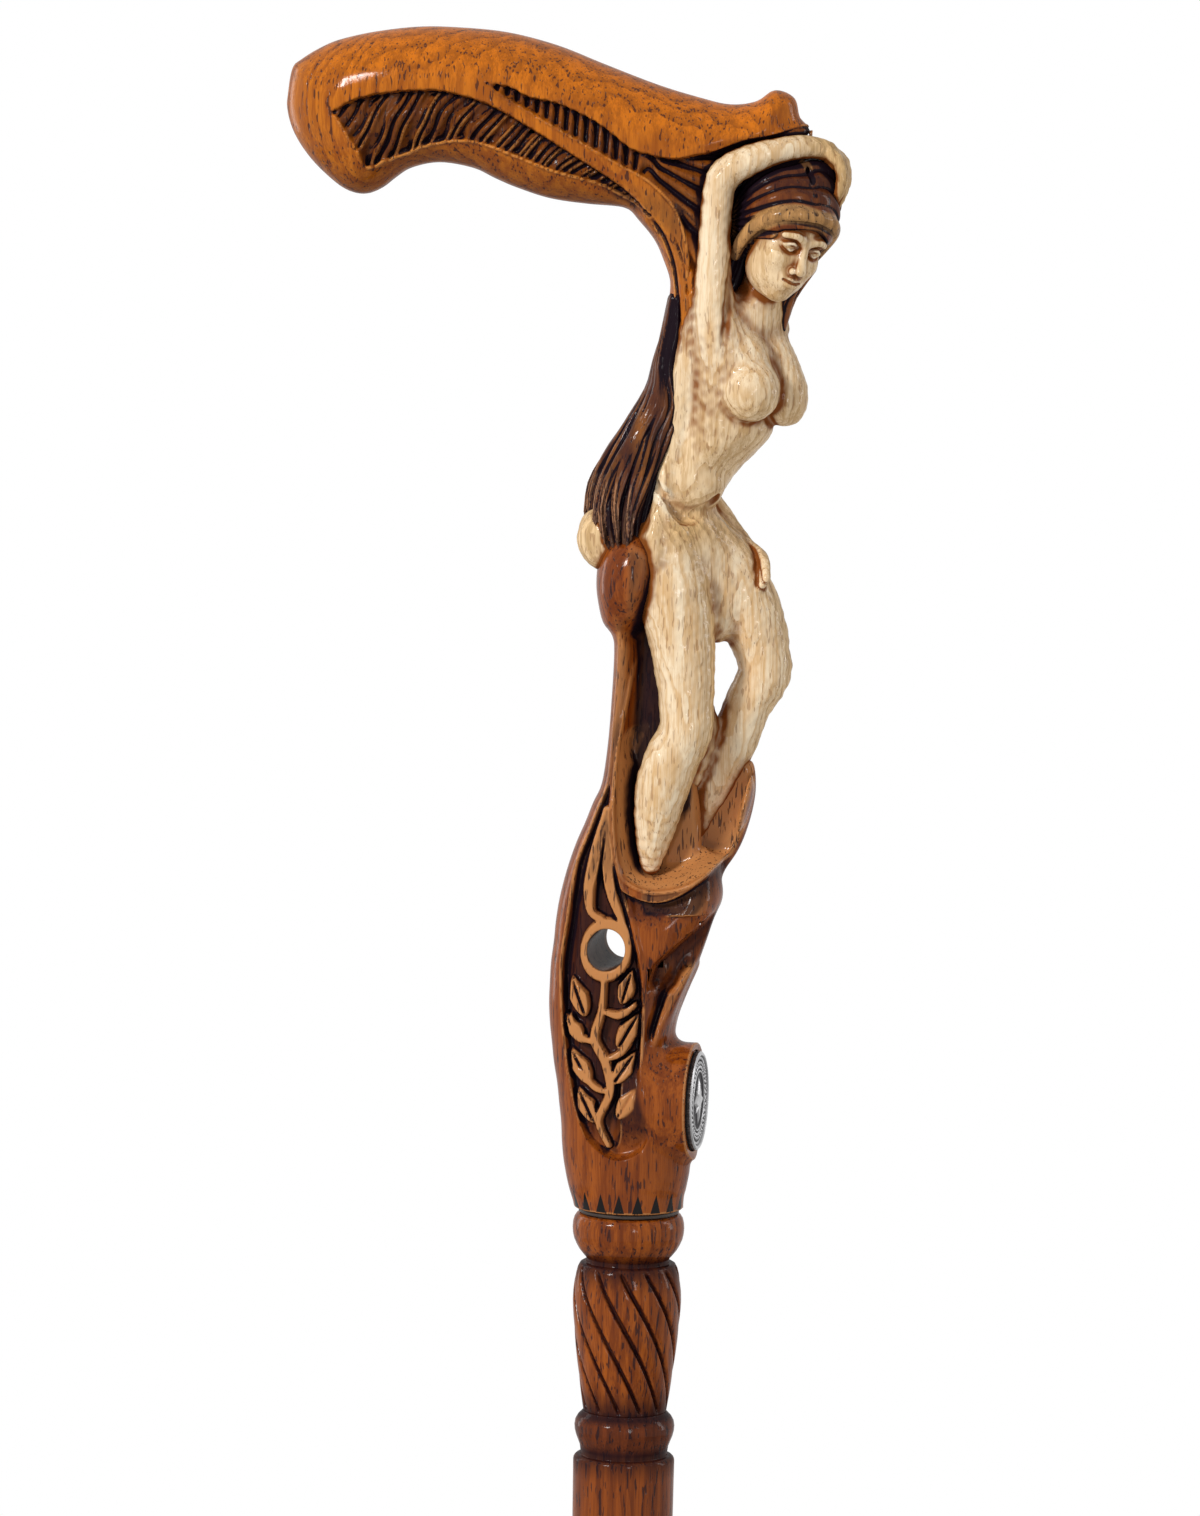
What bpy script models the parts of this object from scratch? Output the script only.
"""Carved walking cane: an oak handle carved as a standing figure, screwed onto a turned oak shaft.

The frame has its origin at the centre of the ferrule's sole, +Z up the shaft and +X to the cane's
front, where the figure looks. Every size is in millimetres until a mesh is made, in metres.
"""

import math

import bmesh
import bpy
from mathutils import Matrix, Vector

MM = 0.001

# Clearances
SEAT_GAP = 0.3          # between any two pieces that touch
THREAD_GAP = 0.25       # on radius, between the stud and the bushes

# Shaft, from its top down
SHAFT_TOP_HEIGHT = 626.4
SEAM_DIAMETER = 26.6
COLLAR_DIAMETER = 27.4
COLLAR_HEIGHT = 11.3
COLLAR_CROWN_DROP = 3.4
COLLAR_FOOT_DIAMETER = 20.6
GROOVE_WIDTH = 0.9
BALUSTER_TOP_DIAMETER = 22.2
BALUSTER_DIAMETER = 26.6
BALUSTER_CROWN_DROP = 9.5
BALUSTER_HEIGHT = 37.0
BALUSTER_FOOT_DIAMETER = 20.4
LOWER_BEAD_DIAMETER = 24.6
LOWER_BEAD_HEIGHT = 10.0
LOWER_BEAD_FOOT_DIAMETER = 21.4
STICK_TOP_DIAMETER = 24.9
STICK_FOOT_DIAMETER = 18.0
STICK_SHOULDER = 1.4

# Screwed joint between shaft and handle
STUD_DIAMETER = 10.0
STUD_CHAMFER = 0.8
STUD_END_ROOM = 3.0     # left in each bore past the stud's end
BUSH_DIAMETER = 14.0
BUSH_LENGTH = 26.0
WASHER_DIAMETER = 24.6
WASHER_THICKNESS = 1.0
WASHER_BORE_ROOM = 0.6  # on radius, between the washer and the bushes' outside

# Ferrule
FERRULE_HEIGHT = 40.0
FERRULE_WALL = 3.2
FERRULE_SOLE_THICKNESS = 8.0
FERRULE_SOLE_FLARE = 6.5
FERRULE_FLARE_HEIGHT = 14.0
FERRULE_LIP = 0.8
FERRULE_LIP_HEIGHT = 3.0
SOLE_CHAMFER = 1.5
TREAD_RINGS = 2
TREAD_WIDTH = 1.6
TREAD_DEPTH = 1.2
FERRULE_WASHER_THICKNESS = 1.5

# Medallion and the boss that carries it on the front of the stem
MEDALLION_DIAMETER = 24.2
MEDALLION_THICKNESS = 1.8
MEDALLION_RIM_WIDTH = 1.4
MEDALLION_FACE_DEPTH = 0.4
MEDALLION_SEAT_DEPTH = 0.7
MEDALLION_HEIGHT = 27.0     # its centre, above the handle's foot
BOSS_WALL = 2.1             # wood left round the medallion
BOSS_FRONT = 15.8           # from the shaft's axis to the boss's flat front

# Pierced oval in the leaf panel
OVAL_FORWARD = -4.8
OVAL_HEIGHT = 64.8
OVAL_WIDTH = 9.4
OVAL_TALL = 10.4
OVAL_TILT_DEG = 12.0

# Raised ring left standing round the pierced oval
OVAL_RING_WIDTH = 13.2
OVAL_RING_TALL = 16.2

# Main sizes of the carved block
GRIP_REACH = 90.0           # from the shaft's axis back to the heel of the grip
GRIP_WIDTH = 28.0
NECK_WIDTH = 26.0
HAIR_WIDTH = 24.0
DRAPE_WIDTH = 22.6
STEM_WIDTH = 26.8
DISH_WIDTH = 25.6
WELL_DEPTH = 8.0            # how deep the dish is hollowed from each side
FIELD_DEPTH = 2.4           # how far the feather fields, the panel and the folds are sunk
WEB_THICKNESS = 6.4         # wood left between the two side pockets behind the legs
TORSO_TURN_DEG = 50.0       # how far the figure's chest turns from the front to her right side

# How finely the carved block is worked
CARVING_VOXEL = 1.2
CARVING_FACES_KEPT = 0.125
SECTION_POINTS = 20
ROUND_STEPS = 36
CUTTER_REACH = 10.0         # how far a cutter runs past the face it cuts

# Sizes that follow from those above
SEAM_RADIUS = SEAM_DIAMETER / 2
HANDLE_FOOT = SHAFT_TOP_HEIGHT + WASHER_THICKNESS + 2 * SEAT_GAP
SHAFT_FOOT = FERRULE_SOLE_THICKNESS + FERRULE_WASHER_THICKNESS + 2 * SEAT_GAP
BUSH_BORE_DEPTH = BUSH_LENGTH + 2 * SEAT_GAP
STUD_LENGTH = 2 * (BUSH_BORE_DEPTH - STUD_END_ROOM) + HANDLE_FOOT - SHAFT_TOP_HEIGHT

# The carved block is given as cuts across each form. A cut is (back x, back z, front x, front z, share
# of the form's half width), with x from the shaft's axis and z above the handle's foot.
# The grip's cuts are drawn for a reach of 90; a longer or shorter grip spreads those behind the neck
DRAWN_REACH = 90.0
NECK_BACK = 10.0
GRIP_CUTS = (
    (-89.4, 263.0, -90.0, 271.0, 0.30),
    (-86.2, 257.0, -88.0, 275.8, 0.62),
    (-80.2, 249.8, -83.2, 280.2, 0.86),
    (-72.3, 243.9, -75.0, 284.0, 0.97),
    (-62.8, 249.2, -63.5, 286.3, 1.00),
    (-51.5, 254.6, -50.5, 287.2, 1.00),
    (-39.5, 251.8, -37.5, 286.6, 1.00),
    (-27.5, 247.2, -25.0, 284.1, 1.00),
    (-16.0, 245.4, -12.5, 279.8, 0.99),
    (-6.0, 245.2, 0.0, 275.3, 0.96),
    (3.0, 248.0, 11.0, 272.2, 0.92),
    (14.0, 254.0, 18.5, 270.9, 0.88),
    (24.5, 258.0, 25.0, 271.8, 0.78),
    (31.0, 259.5, 31.0, 275.0, 0.58),
    (38.5, 260.0, 37.0, 269.2, 0.40),
)
NECK_CUTS = (
    (-12.0, 247.5, 12.0, 266.0, 1.00),
    (-4.6, 243.9, 18.0, 256.0, 1.00),
    (1.2, 237.8, 19.0, 244.0, 0.92),
    (4.6, 231.0, 19.0, 233.0, 0.85),
    (5.4, 224.0, 19.0, 222.0, 0.80),
    (5.2, 216.0, 18.5, 213.0, 0.74),
    (5.0, 209.0, 17.0, 205.0, 0.70),
)
HAIR_CUTS = (
    (4.6, 217.0, 15.0, 219.0, 0.50),
    (3.4, 206.0, 13.0, 206.0, 0.72),
    (-1.9, 197.5, 11.0, 198.0, 0.88),
    (-7.3, 187.5, 10.0, 190.0, 0.97),
    (-13.0, 177.5, 8.5, 180.0, 1.00),
    (-14.4, 168.0, 7.0, 170.0, 1.00),
    (-6.0, 160.0, 5.0, 162.0, 0.92),
)
DRAPE_CUTS = (
    (-12.0, 164.0, 6.0, 166.0, 1.08),
    (-10.2, 156.5, 6.5, 158.0, 1.20),
    (-8.9, 150.5, 6.5, 151.0, 1.18),
    (-8.2, 144.5, 5.0, 144.5, 1.04),
    (-5.8, 138.5, 1.6, 138.5, 0.84),
    (-5.6, 129.0, 0.4, 129.0, 0.80),
    (-6.2, 117.0, -0.2, 117.0, 0.86),
    (-8.2, 104.0, -0.8, 104.0, 0.95),
    (-12.2, 95.0, 2.0, 96.0, 1.05),
)
STEM_CUTS = (
    (-15.4, 6.0, 13.6, 5.0, 0.99),
    (-16.8, 13.0, 15.0, 12.0, 1.01),
    (-18.5, 28.0, 13.4, 28.0, 1.01),
    (-20.3, 40.0, 11.4, 40.0, 1.00),
    (-21.1, 50.0, 12.0, 50.0, 0.98),
    (-20.8, 60.0, 15.4, 60.0, 0.97),
    (-19.8, 71.0, 19.6, 71.0, 0.97),
    (-17.6, 81.0, 22.4, 79.0, 0.98),
    (-14.2, 91.0, 20.0, 86.0, 0.96),
    (-9.8, 102.0, 6.0, 96.0, 0.90),
)
DISH_CUTS = (
    (2.0, 76.0, 18.4, 76.0, 0.82),
    (-1.5, 81.5, 20.6, 80.0, 0.98),
    (-5.0, 87.0, 21.2, 86.5, 1.00),
    (-7.0, 94.0, 20.5, 93.0, 1.00),
    (-8.6, 102.0, 16.0, 98.0, 0.96),
    (-8.4, 112.0, 2.0, 104.0, 0.86),
)
DISH_LIP_CUTS = (
    (14.0, 86.0, 20.4, 79.5, 0.94),
    (18.4, 91.5, 23.2, 87.2, 0.95),
    (21.6, 97.8, 26.2, 95.6, 0.88),
    (24.0, 108.4, 27.4, 107.8, 0.60),
)
WELL_CUTS = (
    (5.0, 82.0, 16.5, 82.0, 0.30),
    (0.6, 87.5, 22.5, 88.0, 0.72),
    (-1.4, 96.0, 25.0, 96.5, 0.94),
    (-2.2, 105.0, 26.6, 104.5, 1.00),
    (-1.6, 116.0, 27.0, 114.0, 1.00),
)
POCKET_WEB_CUTS = (
    (-4.0, 142.0, 8.0, 142.0, 1.00),
    (-4.5, 126.0, 13.0, 126.0, 1.00),
    (-5.0, 104.0, 12.0, 108.0, 1.00),
)
NEAR_LEG_WEB_CUTS = (
    (11.0, 124.0, 16.0, 124.4, 0.50),
    (10.0, 118.0, 15.5, 118.0, 0.80),
    (7.0, 107.5, 14.0, 106.5, 1.00),
    (5.0, 95.0, 13.0, 94.5, 1.00),
)
FAR_LEG_WEB_CUTS = (
    (14.0, 125.2, 22.0, 125.8, 0.50),
    (12.5, 118.0, 22.5, 118.0, 0.80),
    (11.0, 107.5, 25.5, 105.0, 1.00),
    (9.0, 95.0, 23.5, 94.0, 1.00),
)

# Fields sunk into both sides, as outlines of (x, z)
LOWER_FEATHER_FIELD = (
    (-75.6, 266.0), (-69.0, 269.9), (-60.0, 271.7), (-49.5, 272.2), (-39.6, 270.0), (-29.7, 265.3),
    (-19.7, 259.6), (-9.8, 253.6), (1.0, 245.4), (-5.2, 248.8), (-16.0, 252.7), (-27.5, 256.3),
    (-37.4, 259.8), (-47.3, 260.5), (-58.6, 257.0), (-67.4, 253.6), (-71.8, 260.4),
)
UPPER_FEATHER_FIELD = (
    (-36.0, 273.8), (-27.5, 271.3), (-20.1, 269.9), (-10.2, 265.3), (-2.7, 259.9), (7.6, 257.6),
    (20.0, 260.0), (22.0, 250.0), (14.0, 226.0), (12.2, 233.4), (10.5, 241.5), (8.0, 246.7),
    (2.0, 252.3), (-5.0, 255.9), (-13.4, 260.5), (-19.8, 263.9), (-27.3, 268.2),
)
LEAF_PANEL = (
    (-5.1, 104.5), (-9.6, 93.7), (-12.6, 86.0), (-13.9, 78.3), (-15.9, 64.5), (-16.2, 56.0),
    (-14.9, 41.5), (-12.0, 26.0), (-9.5, 19.3), (-1.8, 13.6), (5.8, 16.6), (7.0, 22.0),
    (4.9, 31.0), (4.5, 43.0), (4.7, 53.2), (2.4, 67.8), (-1.4, 81.1), (-4.2, 95.0),
)
DISH_UNDERCUT = (
    (-3.6, 84.0), (-1.4, 80.4), (1.8, 78.2), (6.5, 77.2), (10.5, 77.8), (14.1, 79.6), (17.3, 82.0),
    (20.6, 86.0), (21.6, 82.4), (17.4, 77.0), (12.0, 74.4), (6.0, 73.8), (1.0, 76.0),
)
LOWER_FOLD = (
    (5.4, 54.4), (6.2, 59.4), (8.6, 63.4), (13.4, 67.8), (18.2, 71.8), (20.6, 75.4), (19.4, 70.4),
    (13.4, 63.2), (10.3, 57.8), (8.0, 53.4),
)

# The trunk of the figure: (x, y, z, half width across the shoulders, half depth)
TORSO_CUTS = (
    (26.0, 0.0, 224.0, 6.0, 5.2),
    (24.6, 0.3, 217.0, 11.3, 6.8),
    (22.0, 0.6, 207.0, 12.4, 8.4),
    (20.6, 0.6, 197.0, 12.6, 9.6),
    (19.3, 0.6, 190.0, 12.0, 9.8),
    (13.4, 0.5, 181.5, 10.2, 8.6),
    (9.6, 0.0, 173.5, 8.8, 7.8),
    (8.4, 0.0, 165.5, 10.4, 9.6),
    (6.5, 0.0, 157.0, 11.0, 10.4),
)
# Each limb as a chain of balls: (x, y, z, radius)
NEAR_ARM = (
    (18.8, -8.0, 217.5, 6.0),
    (17.6, -9.6, 228.0, 4.6),
    (17.6, -10.0, 239.0, 4.1),
    (18.6, -10.0, 248.5, 3.8),
    (20.4, -9.8, 255.2, 4.0),
    (28.5, -8.6, 258.8, 3.6),
    (37.5, -5.0, 261.4, 3.5),
    (43.6, -1.0, 260.4, 3.3),
    (46.3, 1.0, 255.8, 3.0),
    (46.2, 2.0, 250.6, 2.6),
)
FAR_ARM = (
    (27.6, 7.4, 216.4, 5.2),
    (19.0, 11.4, 204.0, 4.6),
    (9.0, 12.2, 191.0, 4.2),
    (9.2, 12.2, 180.0, 3.9),
    (16.0, 11.6, 169.5, 3.6),
    (23.2, 10.8, 161.0, 3.6),
    (27.4, 10.2, 156.2, 2.8),
)
NEAR_LEG = (
    (6.0, -4.6, 162.0, 9.2),
    (9.4, -6.0, 150.5, 8.9),
    (11.8, -6.6, 138.4, 7.8),
    (12.9, -6.8, 126.2, 6.7),
    (12.9, -7.2, 118.5, 6.7),
    (9.8, -7.3, 112.0, 6.8),
    (7.4, -7.3, 104.1, 6.5),
    (6.1, -7.3, 96.2, 5.3),
    (5.3, -7.2, 89.7, 3.7),
    (5.0, -7.0, 85.4, 2.2),
)
FAR_LEG = (
    (12.5, 5.0, 163.0, 8.8),
    (21.0, 5.6, 155.0, 8.5),
    (26.5, 6.2, 145.0, 7.8),
    (29.2, 6.4, 136.5, 6.7),
    (29.6, 6.4, 131.8, 6.5),
    (25.9, 6.0, 124.4, 5.8),
    (22.4, 5.5, 115.0, 5.8),
    (19.0, 5.0, 106.8, 5.2),
    (16.2, 4.5, 99.8, 3.9),
    (14.2, 4.0, 93.4, 2.4),
)
THROAT = (
    (25.4, 0.2, 219.0, 5.2),
    (29.0, -0.6, 229.0, 4.9),
    (31.8, -1.0, 236.0, 4.9),
)
SIDE_LOCK = (
    (38.4, 1.5, 232.0, 2.6),
    (33.8, 2.6, 225.0, 2.4),
    (31.8, 3.2, 219.5, 2.6),
    (30.0, 3.4, 213.0, 3.0),
)
LOOSE_HAIR = (
    (33.0, 2.5, 250.0, 8.0),
    (25.5, 3.0, 244.0, 8.0),
    (19.5, 3.0, 234.0, 7.6),
    (14.5, 1.5, 220.0, 7.0),
    (11.5, 1.0, 208.0, 6.5),
)
# Egg-shaped masses: middle, radii, lean of the top towards +X in degrees
MASSES = (
    ((35.0, -1.6, 241.2), (10.2, 10.0, 13.6), 18.0),    # head
    ((39.0, -0.5, 250.5), (8.6, 8.4, 6.6), 10.0),       # cap of hair under the hand
    ((4.5, 0.0, 161.5), (12.5, 12.4, 12.8), 0.0),       # pelvis
    ((12.6, 1.5, 158.5), (10.0, 8.6, 12.0), -8.0),      # belly
    ((18.2, 1.0, 148.8), (6.2, 6.0, 9.2), 0.0),         # between the thighs
    ((-7.6, -5.6, 165.0), (7.4, 7.0, 8.4), 0.0),        # near seat
    ((-7.4, 5.6, 164.0), (7.4, 7.0, 8.4), 0.0),         # far seat
    ((25.4, -6.2, 202.4), (7.6, 7.4, 9.6), -16.0),      # near breast
    ((33.0, 1.8, 201.4), (6.6, 6.8, 9.8), -24.0),       # far breast
)


def clear_scene():
    """Removes whatever the scene holds."""
    for obj in list(bpy.data.objects):
        bpy.data.objects.remove(obj, do_unlink=True)


def finish(name, color, roughness, metallic=0.0):
    """Makes a plain Principled material."""
    material = bpy.data.materials.new(name)
    material.use_nodes = True
    shader = material.node_tree.nodes["Principled BSDF"]
    shader.inputs["Base Color"].default_value = (*color, 1.0)
    shader.inputs["Roughness"].default_value = roughness
    shader.inputs["Metallic"].default_value = metallic
    return material


def object_from(mesh_in_mm, name, material=None, sharp_deg=35.0):
    """Turns a bmesh in millimetres into an object in metres, shaded smooth."""
    bmesh.ops.recalc_face_normals(mesh_in_mm, faces=mesh_in_mm.faces)
    bmesh.ops.scale(mesh_in_mm, vec=(MM, MM, MM), verts=mesh_in_mm.verts)
    mesh = bpy.data.meshes.new(name)
    mesh_in_mm.to_mesh(mesh)
    mesh_in_mm.free()
    mesh.shade_smooth()
    mesh.set_sharp_from_angle(angle=math.radians(sharp_deg))
    obj = bpy.data.objects.new(name, mesh)
    bpy.context.scene.collection.objects.link(obj)
    if material:
        mesh.materials.append(material)
    return obj


def turned(profile, steps=ROUND_STEPS):
    """Spins a closed outline of (radius, height) points about the Z axis."""
    work = bmesh.new()
    verts = [work.verts.new((radius, 0.0, height)) for radius, height in profile]
    edges = [work.edges.new((a, b)) for a, b in zip(verts, verts[1:] + verts[:1])]
    bmesh.ops.spin(
        work, geom=verts + edges, cent=(0, 0, 0), axis=(0, 0, 1),
        angle=math.tau, steps=steps, use_merge=True,
    )
    bmesh.ops.remove_doubles(work, verts=work.verts, dist=1e-4)
    on_axis = [e for e in work.edges if all(math.hypot(v.co.x, v.co.y) < 1e-5 for v in e.verts)]
    bmesh.ops.delete(work, geom=on_axis, context="EDGES")
    bmesh.ops.dissolve_degenerate(work, dist=1e-5, edges=work.edges)
    return work


def as_cutter(obj):
    """Marks a helper that only shapes other pieces."""
    obj.hide_render = True
    obj.display_type = "WIRE"
    return obj


def cut(obj, cutter, label):
    """Takes the cutter's shape out of the object."""
    modifier = obj.modifiers.new(label, "BOOLEAN")
    modifier.operation = "DIFFERENCE"
    modifier.solver = "EXACT"
    modifier.object = cutter


def swelling(top, drop, height, top_radius, crown_radius, foot_radius, rounded_foot=True):
    """Outline of a turned swelling from its top to its foot; its crown lies a drop below the top."""
    outline = []
    for i in range(4):
        angle = math.pi / 2 * i / 4
        radius = top_radius + (crown_radius - top_radius) * math.sin(angle)
        outline.append((radius, top - drop * (1 - math.cos(angle))))
    steps = 6
    for i in range(steps + 1):
        share = i / steps
        if rounded_foot:
            fall, sunk = math.cos(math.pi / 2 * share), math.sin(math.pi / 2 * share)
        else:
            fall, sunk = 1 - share ** 1.4, share
        radius = foot_radius + (crown_radius - foot_radius) * fall
        outline.append((radius, top - drop - (height - drop) * sunk))
    return outline


def skin_between(work, rings):
    """Joins neighbouring rings of vertices with faces and closes both ends."""
    for ring, following in zip(rings, rings[1:]):
        for i, vert in enumerate(ring):
            j = (i + 1) % len(ring)
            work.faces.new((vert, ring[j], following[j], following[i]))
    work.faces.new(rings[0][::-1])
    work.faces.new(rings[-1])


def add_cuts(work, cuts, half_width, squareness=2.0, y_middle=0.0):
    """Skins a form that is symmetric across the cane from its cuts."""
    rings = []
    for back_x, back_z, front_x, front_z, share in cuts:
        middle = Vector((back_x + front_x, 0.0, back_z + front_z)) / 2
        reach = Vector((front_x - back_x, 0.0, front_z - back_z)) / 2
        middle.y = y_middle
        ring = []
        for i in range(SECTION_POINTS):
            angle = math.tau * i / SECTION_POINTS
            along = math.copysign(abs(math.cos(angle)) ** (2 / squareness), math.cos(angle))
            across = math.copysign(abs(math.sin(angle)) ** (2 / squareness), math.sin(angle))
            sideways = Vector((0.0, half_width * share * across, 0.0))
            ring.append(work.verts.new(middle + reach * along + sideways))
        rings.append(ring)
    skin_between(work, rings)


def add_torso(work):
    """Skins the figure's trunk, turned about the vertical."""
    turn = math.radians(TORSO_TURN_DEG)
    across = Vector((math.cos(turn), math.sin(turn), 0))
    ahead = Vector((math.sin(turn), -math.cos(turn), 0))
    rings = []
    for x, y, z, half_width, half_depth in TORSO_CUTS:
        ring = []
        for i in range(SECTION_POINTS):
            angle = math.tau * i / SECTION_POINTS
            offset = across * half_width * math.cos(angle) + ahead * half_depth * math.sin(angle)
            ring.append(work.verts.new(Vector((x, y, z)) + offset))
        rings.append(ring)
    skin_between(work, rings)


def add_limb(work, balls):
    """Skins a round limb through its balls, with a ball at each end."""
    centres = [Vector(ball[:3]) for ball in balls]
    rings = []
    for i, ball in enumerate(balls):
        ahead = (centres[min(i + 1, len(balls) - 1)] - centres[max(i - 1, 0)]).normalized()
        side = ahead.cross(Vector((0.0, 1.0, 0.0))).normalized()
        up = side.cross(ahead)
        rings.append([
            work.verts.new(centres[i] + ball[3] * (
                side * math.cos(math.tau * k / SECTION_POINTS)
                + up * math.sin(math.tau * k / SECTION_POINTS)
            ))
            for k in range(SECTION_POINTS)
        ])
    skin_between(work, rings)
    for ball in (balls[0], balls[-1]):
        add_mass(work, ball[:3], (ball[3],) * 3)


def add_mass(work, middle, radii, lean_deg=0.0):
    """Adds an egg-shaped lump."""
    place = (
        Matrix.Translation(middle)
        @ Matrix.Rotation(math.radians(lean_deg), 4, "Y")
        @ Matrix.Diagonal((*radii, 1.0))
    )
    bmesh.ops.create_uvsphere(work, u_segments=SECTION_POINTS, v_segments=12, radius=1.0, matrix=place)


def spread(x):
    """Moves a place behind the neck so that the grip's heel lies at GRIP_REACH."""
    stretch = (GRIP_REACH - NECK_BACK) / (DRAWN_REACH - NECK_BACK)
    return x if x > -NECK_BACK else -NECK_BACK + (x + NECK_BACK) * stretch


def spread_grip(cuts):
    """Spreads the grip's cuts."""
    return [(spread(cut[0]), cut[1], spread(cut[2]), cut[3], cut[4]) for cut in cuts]


def side_well(side):
    """The hollow in one side of the dish, where a foot stands."""
    work = bmesh.new()
    add_cuts(work, WELL_CUTS, WELL_DEPTH, y_middle=side * DISH_WIDTH / 2)
    bmesh.ops.translate(work, vec=(0, 0, HANDLE_FOOT), verts=work.verts)
    return as_cutter(object_from(work, "near_well" if side < 0 else "far_well"))


def side_field(outline, name):
    """A field's outline, drawn out across the whole cane."""
    work = bmesh.new()
    face = work.faces.new([work.verts.new((spread(x), -STEM_WIDTH, HANDLE_FOOT + z)) for x, z in outline])
    drawn = bmesh.ops.extrude_face_region(work, geom=[face])
    far = [item for item in drawn["geom"] if isinstance(item, bmesh.types.BMVert)]
    bmesh.ops.translate(work, vec=(0, 2 * STEM_WIDTH, 0), verts=far)
    return as_cutter(object_from(work, name))


def oval_through(width, tall, name):
    """An oval drawn out across the whole cane, where the stem is pierced."""
    work = bmesh.new()
    place = (
        Matrix.Translation((OVAL_FORWARD, 0, HANDLE_FOOT + OVAL_HEIGHT))
        @ Matrix.Rotation(math.radians(OVAL_TILT_DEG), 4, "Y")
        @ Matrix.Diagonal((width / 2, 1.0, tall / 2, 1.0))
        @ Matrix.Rotation(math.pi / 2, 4, "X")
    )
    bmesh.ops.create_cone(
        work, cap_ends=True, segments=24, radius1=1.0, radius2=1.0,
        depth=3 * STEM_WIDTH, matrix=place,
    )
    return as_cutter(object_from(work, name))


def merged(obj, voxel):
    """Adds the modifier that makes overlapping skins one skin."""
    merge = obj.modifiers.new("Merge the forms", "REMESH")
    merge.mode = "VOXEL"
    merge.voxel_size = voxel * MM
    merge.use_smooth_shade = True


def hollowed_block():
    """The forms round the figure, merged, with the wells and the sunk fields cut; in millimetres.

    A core that lies FIELD_DEPTH below the surface is taken out of each field's cutter, so that the
    cutter reaches down to the core on both sides.
    """
    seam = (-SEAM_RADIUS, 0.0, SEAM_RADIUS, 0.0, 2 * SEAM_RADIUS / STEM_WIDTH)
    below_seam = (-SEAM_RADIUS, -5.0, SEAM_RADIUS, -5.0, 2 * SEAM_RADIUS / STEM_WIDTH)
    work = bmesh.new()
    add_cuts(work, spread_grip(GRIP_CUTS), GRIP_WIDTH / 2, squareness=2.3)
    add_cuts(work, NECK_CUTS, NECK_WIDTH / 2)
    add_cuts(work, HAIR_CUTS, HAIR_WIDTH / 2)
    add_cuts(work, DRAPE_CUTS, DRAPE_WIDTH / 2)
    add_cuts(work, (below_seam, seam) + STEM_CUTS, STEM_WIDTH / 2, squareness=2.2)
    add_cuts(work, DISH_CUTS, DISH_WIDTH / 2, squareness=2.6)
    add_cuts(work, DISH_LIP_CUTS, DISH_WIDTH / 2, squareness=2.6)
    boss = Matrix.Translation((BOSS_FRONT / 2, 0, MEDALLION_HEIGHT)) @ Matrix.Rotation(math.pi / 2, 4, "Y")
    boss_radius = MEDALLION_DIAMETER / 2 + BOSS_WALL
    bmesh.ops.create_cone(
        work, cap_ends=True, segments=ROUND_STEPS, radius1=boss_radius, radius2=boss_radius,
        depth=BOSS_FRONT, matrix=boss,
    )
    bmesh.ops.translate(work, vec=(0, 0, HANDLE_FOOT), verts=work.verts)
    block = object_from(work, "block")
    merged(block, CARVING_VOXEL)
    core = bpy.data.objects.new("core", block.data)
    bpy.context.scene.collection.objects.link(core)
    merged(core, CARVING_VOXEL)
    sink = core.modifiers.new("Sink", "DISPLACE")
    sink.mid_level = 0.0
    sink.strength = -FIELD_DEPTH * MM
    merged(core, CARVING_VOXEL)

    fields = [
        side_field(LOWER_FEATHER_FIELD, "lower_feather_field"),
        side_field(UPPER_FEATHER_FIELD, "upper_feather_field"),
        side_field(LEAF_PANEL, "leaf_panel"),
        side_field(DISH_UNDERCUT, "dish_undercut"),
        side_field(LOWER_FOLD, "lower_fold"),
    ]
    oval_ring = oval_through(OVAL_RING_WIDTH, OVAL_RING_TALL, "oval_ring")
    cut(fields[2], oval_ring, "Leave the ring")
    for field in fields:
        cut(field, core, "Down to the core")
    wells = [side_well(-1), side_well(1)]
    for cutter in fields + wells:
        cut(block, cutter, cutter.name)
    graph = bpy.context.evaluated_depsgraph_get()
    shape = bmesh.new()
    shape.from_object(block, graph)
    bmesh.ops.scale(shape, vec=(1 / MM, 1 / MM, 1 / MM), verts=shape.verts)
    for helper in [block, core, oval_ring, *fields, *wells]:
        bpy.data.objects.remove(helper, do_unlink=True)
    return shape


def carved_block():
    """All the carved forms of the handle as overlapping closed skins."""
    work = bmesh.new()
    add_cuts(work, POCKET_WEB_CUTS, WEB_THICKNESS / 2, squareness=3.0, y_middle=0.5)
    add_cuts(work, NEAR_LEG_WEB_CUTS, WEB_THICKNESS / 2, squareness=3.0, y_middle=-0.5)
    add_cuts(work, FAR_LEG_WEB_CUTS, WEB_THICKNESS / 2, squareness=3.0, y_middle=4.0)
    add_torso(work)
    for limb in (NEAR_ARM, FAR_ARM, NEAR_LEG, FAR_LEG, THROAT, SIDE_LOCK, LOOSE_HAIR):
        add_limb(work, limb)
    for middle, radii, lean_deg in MASSES:
        add_mass(work, middle, radii, lean_deg)
    bmesh.ops.translate(work, vec=(0, 0, HANDLE_FOOT), verts=work.verts)
    bmesh.ops.recalc_face_normals(work, faces=work.faces)
    figure = bpy.data.meshes.new("figure")
    work.to_mesh(figure)
    work.free()
    work = hollowed_block()
    work.from_mesh(figure)
    bpy.data.meshes.remove(figure)
    return work


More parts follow.
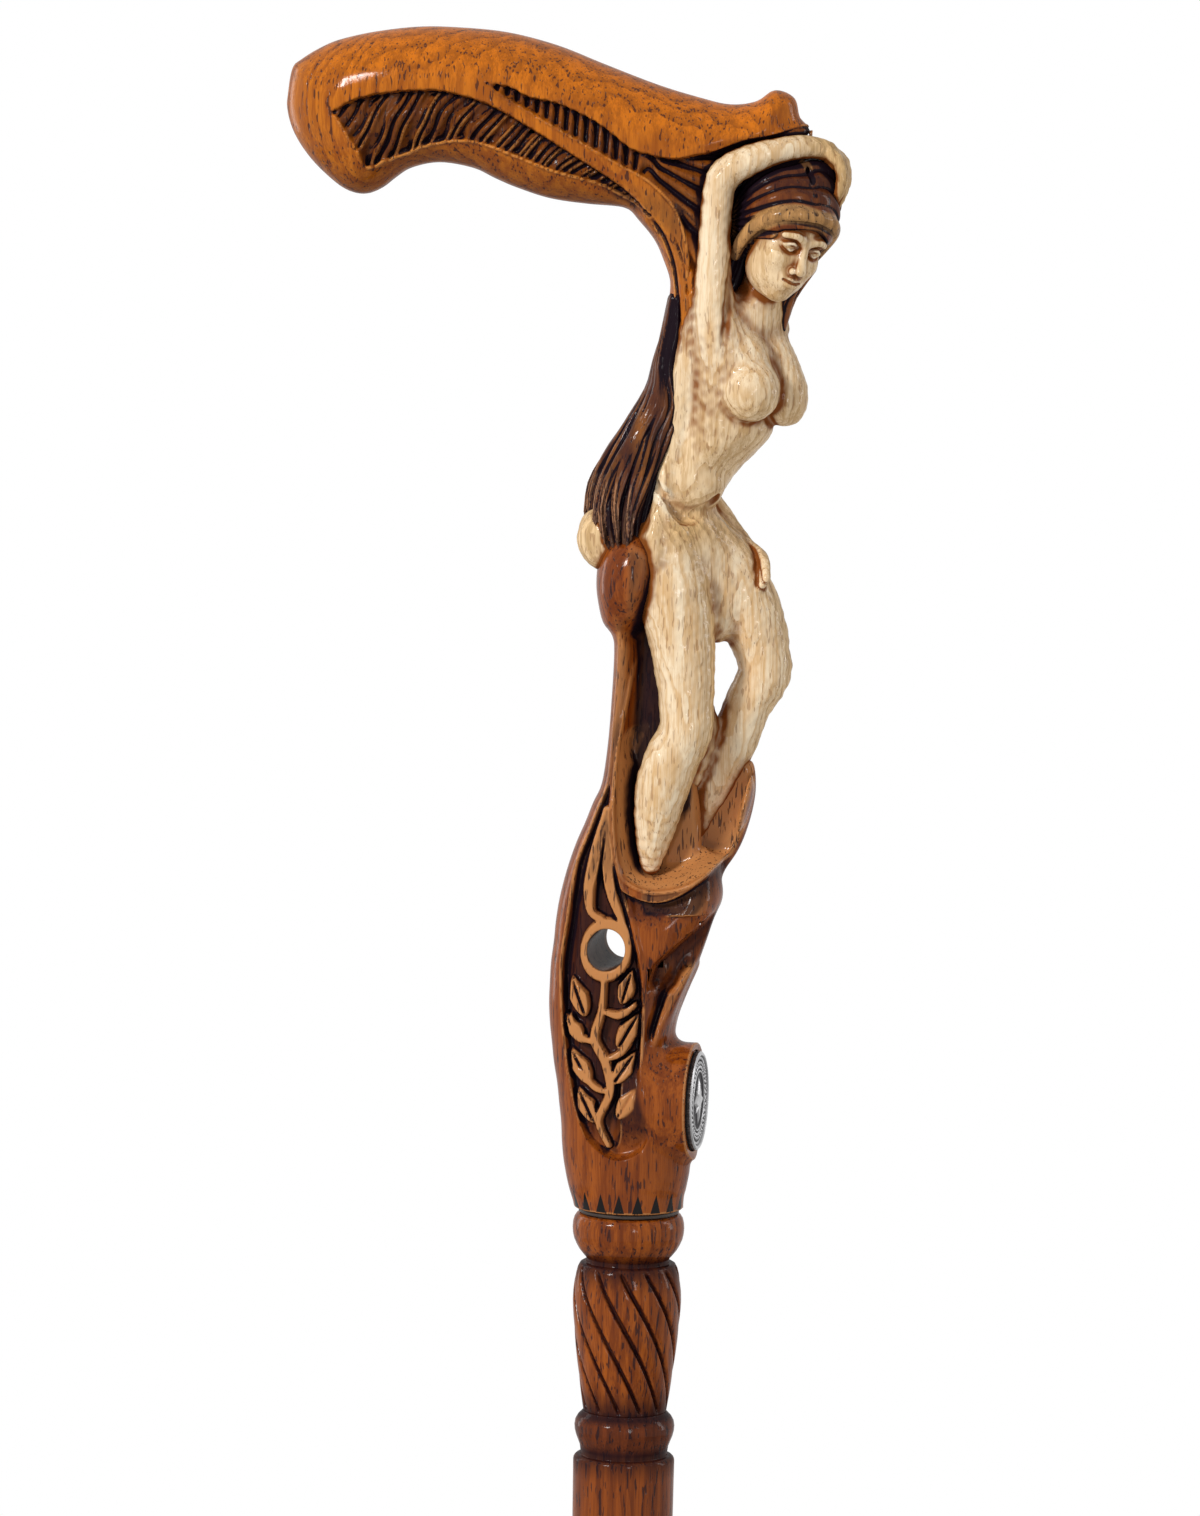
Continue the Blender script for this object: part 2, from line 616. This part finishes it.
def round_cutter(diameter, depth, middle, name, turn=None):
    """A round cutter along Z, or along the axis that the turn brings Z to."""
    work = bmesh.new()
    bmesh.ops.create_cone(
        work, cap_ends=True, segments=ROUND_STEPS, radius1=diameter / 2, radius2=diameter / 2,
        depth=depth, matrix=Matrix.Translation(middle) @ (turn or Matrix.Identity(4)),
    )
    return as_cutter(object_from(work, name))


def largest_body(work):
    """Deletes every loose crumb, so that one connected body is left."""
    bodies, seen = [], set()
    for start in work.faces:
        if start in seen:
            continue
        body, waiting = [], [start]
        seen.add(start)
        while waiting:
            face = waiting.pop()
            body.append(face)
            for edge in face.edges:
                for other in edge.link_faces:
                    if other not in seen:
                        seen.add(other)
                        waiting.append(other)
        bodies.append(body)
    bodies.sort(key=len)
    crumbs = [face for body in bodies[:-1] for face in body]
    bmesh.ops.delete(work, geom=crumbs, context="FACES")
    return work


def softened_block():
    """The carved forms as one smoothed skin with few faces, in millimetres."""
    block = object_from(carved_block(), "carved_block")
    merged(block, CARVING_VOXEL)
    soften = block.modifiers.new("Soften the joins", "SMOOTH")
    soften.factor = 0.5
    soften.iterations = 2
    thin = block.modifiers.new("Fewer faces", "DECIMATE")
    thin.ratio = CARVING_FACES_KEPT
    work = bmesh.new()
    work.from_object(block, bpy.context.evaluated_depsgraph_get())
    bmesh.ops.scale(work, vec=(1 / MM, 1 / MM, 1 / MM), verts=work.verts)
    bpy.data.objects.remove(block, do_unlink=True)
    return largest_body(work)


def make_carved_handle(material):
    """The carved oak block with its flat foot, bores and piercing."""
    handle = object_from(softened_block(), "carved_handle", material, sharp_deg=60.0)

    foot = bmesh.new()
    bmesh.ops.create_cube(foot, size=1.0)
    bmesh.ops.scale(foot, vec=(2 * STEM_WIDTH, 2 * STEM_WIDTH, CUTTER_REACH), verts=foot.verts)
    bmesh.ops.translate(foot, vec=(0, 0, HANDLE_FOOT - CUTTER_REACH / 2), verts=foot.verts)
    cut(handle, as_cutter(object_from(foot, "foot_plane")), "Flat foot")

    seat_x = BOSS_FRONT - MEDALLION_SEAT_DEPTH
    seat = round_cutter(
        MEDALLION_DIAMETER + 2 * SEAT_GAP, CUTTER_REACH,
        (seat_x + CUTTER_REACH / 2, 0, HANDLE_FOOT + MEDALLION_HEIGHT), "medallion_seat",
        Matrix.Rotation(math.pi / 2, 4, "Y"),
    )
    cut(handle, seat, "Medallion seat")
    bore = round_cutter(
        BUSH_DIAMETER + 2 * SEAT_GAP, 2 * BUSH_BORE_DEPTH, (0, 0, HANDLE_FOOT), "handle_bush_bore",
    )
    cut(handle, bore, "Bush bore")

    cut(handle, oval_through(OVAL_WIDTH, OVAL_TALL, "oval_piercing"), "Pierced oval")
    return handle


def make_medallion(material):
    """The metal disc; its face lies below its rim."""
    radius, face = MEDALLION_DIAMETER / 2, MEDALLION_THICKNESS - MEDALLION_FACE_DEPTH
    edge = 0.3
    work = turned((
        (0.0, 0.0), (radius - edge, 0.0), (radius, edge), (radius, MEDALLION_THICKNESS - edge),
        (radius - edge, MEDALLION_THICKNESS), (radius - MEDALLION_RIM_WIDTH, MEDALLION_THICKNESS),
        (radius - MEDALLION_RIM_WIDTH - edge, face), (0.0, face),
    ))
    bmesh.ops.rotate(work, matrix=Matrix.Rotation(math.pi / 2, 3, "Y"), verts=work.verts)
    back = BOSS_FRONT - MEDALLION_SEAT_DEPTH + SEAT_GAP
    bmesh.ops.translate(work, vec=(back, 0, HANDLE_FOOT + MEDALLION_HEIGHT), verts=work.verts)
    return object_from(work, "medallion", material)


def shaft_outline():
    """Half outline of the shaft, from its top down to its foot, with the bush's bore on top."""
    bore_radius = BUSH_DIAMETER / 2 + SEAT_GAP
    collar_foot = SHAFT_TOP_HEIGHT - COLLAR_HEIGHT
    baluster_top = collar_foot - GROOVE_WIDTH
    baluster_foot = baluster_top - BALUSTER_HEIGHT
    bead_foot = baluster_foot - LOWER_BEAD_HEIGHT
    stick_top = bead_foot - GROOVE_WIDTH
    stick, foot = STICK_TOP_DIAMETER / 2, STICK_FOOT_DIAMETER / 2
    outline = [
        (0.0, SHAFT_TOP_HEIGHT - BUSH_BORE_DEPTH),
        (bore_radius, SHAFT_TOP_HEIGHT - BUSH_BORE_DEPTH),
        (bore_radius, SHAFT_TOP_HEIGHT),
    ]
    outline += swelling(
        SHAFT_TOP_HEIGHT, COLLAR_CROWN_DROP, COLLAR_HEIGHT,
        SEAM_RADIUS - 0.4, COLLAR_DIAMETER / 2, COLLAR_FOOT_DIAMETER / 2,
    )
    outline.append((COLLAR_FOOT_DIAMETER / 2, baluster_top))
    outline += swelling(
        baluster_top, BALUSTER_CROWN_DROP, BALUSTER_HEIGHT,
        BALUSTER_TOP_DIAMETER / 2, BALUSTER_DIAMETER / 2, BALUSTER_FOOT_DIAMETER / 2, rounded_foot=False,
    )
    outline += swelling(
        baluster_foot, LOWER_BEAD_HEIGHT * 0.4, LOWER_BEAD_HEIGHT,
        BALUSTER_FOOT_DIAMETER / 2 + 0.6, LOWER_BEAD_DIAMETER / 2, LOWER_BEAD_FOOT_DIAMETER / 2,
    )
    outline += [
        (LOWER_BEAD_FOOT_DIAMETER / 2, stick_top),
        (stick - STICK_SHOULDER * 0.6, stick_top),
        (stick, stick_top - STICK_SHOULDER),
    ]
    for share in (0.25, 0.5, 0.75):
        outline.append((stick + (foot - stick) * share, stick_top + (SHAFT_FOOT - stick_top) * share))
    outline += [
        (foot, FERRULE_HEIGHT), (foot, SHAFT_FOOT + 0.8), (foot - 0.8, SHAFT_FOOT), (0.0, SHAFT_FOOT),
    ]
    return outline


def make_bush(name, foot, material):
    """A brass insert; its thread is a plain bore."""
    outer, bore = BUSH_DIAMETER / 2, STUD_DIAMETER / 2 + THREAD_GAP
    work = turned((
        (bore, foot), (outer - 0.4, foot), (outer, foot + 0.4),
        (outer, foot + BUSH_LENGTH - 0.4), (outer - 0.4, foot + BUSH_LENGTH), (bore, foot + BUSH_LENGTH),
    ))
    return object_from(work, name, material)


def make_stud(material):
    """The steel stud, half in each bush."""
    middle = SHAFT_TOP_HEIGHT + (HANDLE_FOOT - SHAFT_TOP_HEIGHT) / 2
    low, high = middle - STUD_LENGTH / 2, middle + STUD_LENGTH / 2
    radius = STUD_DIAMETER / 2
    work = turned((
        (0.0, low), (radius - STUD_CHAMFER, low), (radius, low + STUD_CHAMFER),
        (radius, high - STUD_CHAMFER), (radius - STUD_CHAMFER, high), (0.0, high),
    ))
    return object_from(work, "joint_stud", material)


def make_joint_washer(material):
    """The fibre ring in the seam."""
    foot = SHAFT_TOP_HEIGHT + SEAT_GAP
    outer, bore = WASHER_DIAMETER / 2, BUSH_DIAMETER / 2 + WASHER_BORE_ROOM
    work = turned((
        (bore, foot), (outer, foot), (outer, foot + WASHER_THICKNESS), (bore, foot + WASHER_THICKNESS),
    ))
    return object_from(work, "joint_washer", material)


def make_ferrule(material):
    """The rubber foot: flared sole with tread rings, and a sleeve with a rolled lip."""
    socket = STICK_FOOT_DIAMETER / 2 + SEAT_GAP
    sleeve = socket + FERRULE_WALL
    sole, lip = sleeve + FERRULE_SOLE_FLARE, sleeve + FERRULE_LIP
    outline = [(0.0, 0.0)]
    for ring in range(1, TREAD_RINGS + 1):
        inner = sole * ring / (TREAD_RINGS + 0.8) - TREAD_WIDTH / 2
        outer = inner + TREAD_WIDTH
        outline += [(inner, 0.0), (inner, TREAD_DEPTH), (outer, TREAD_DEPTH), (outer, 0.0)]
    outline += [(sole - SOLE_CHAMFER, 0.0), (sole, SOLE_CHAMFER)]
    for step in range(5):
        share = step / 4
        height = FERRULE_FLARE_HEIGHT * (0.4 + 0.6 * share)
        outline.append((sleeve + FERRULE_SOLE_FLARE * (1 + math.cos(share * math.pi)) / 2, height))
    lip_foot = FERRULE_HEIGHT - FERRULE_LIP_HEIGHT
    outline += [
        (sleeve, lip_foot), (lip, lip_foot + 0.6), (lip, FERRULE_HEIGHT - 0.6), (lip - 0.6, FERRULE_HEIGHT),
        (socket + 0.5, FERRULE_HEIGHT), (socket, FERRULE_HEIGHT - 0.5),
        (socket, FERRULE_SOLE_THICKNESS), (0.0, FERRULE_SOLE_THICKNESS),
    ]
    return object_from(turned(outline), "ferrule", material)


def make_ferrule_washer(material):
    """The steel disc under the shaft's end."""
    radius = STICK_FOOT_DIAMETER / 2
    foot = FERRULE_SOLE_THICKNESS + SEAT_GAP
    top = foot + FERRULE_WASHER_THICKNESS
    work = turned(((0.0, foot), (radius, foot), (radius, top), (0.0, top)))
    return object_from(work, "ferrule_washer", material)


def main():
    """Builds the cane."""
    clear_scene()
    oak = finish("carved_oak", (0.33, 0.12, 0.035), 0.28)
    shaft_oak = finish("stained_oak", (0.24, 0.08, 0.03), 0.25)
    silver = finish("aged_silver", (0.62, 0.61, 0.58), 0.35, 1.0)
    brass = finish("turned_brass", (0.72, 0.52, 0.22), 0.3, 1.0)
    stud_steel = finish("threaded_steel", (0.55, 0.56, 0.58), 0.35, 1.0)
    fibre = finish("fibre", (0.03, 0.02, 0.015), 0.6)
    rubber = finish("black_rubber", (0.02, 0.02, 0.02), 0.7)
    washer_steel = finish("plain_steel", (0.6, 0.6, 0.62), 0.3, 1.0)

    make_carved_handle(oak)
    make_medallion(silver)
    make_bush("handle_bush", HANDLE_FOOT + SEAT_GAP, brass)
    make_bush("shaft_bush", SHAFT_TOP_HEIGHT - SEAT_GAP - BUSH_LENGTH, brass)
    make_stud(stud_steel)
    make_joint_washer(fibre)
    object_from(turned(shaft_outline()), "shaft", shaft_oak)
    make_ferrule(rubber)
    make_ferrule_washer(washer_steel)


main()
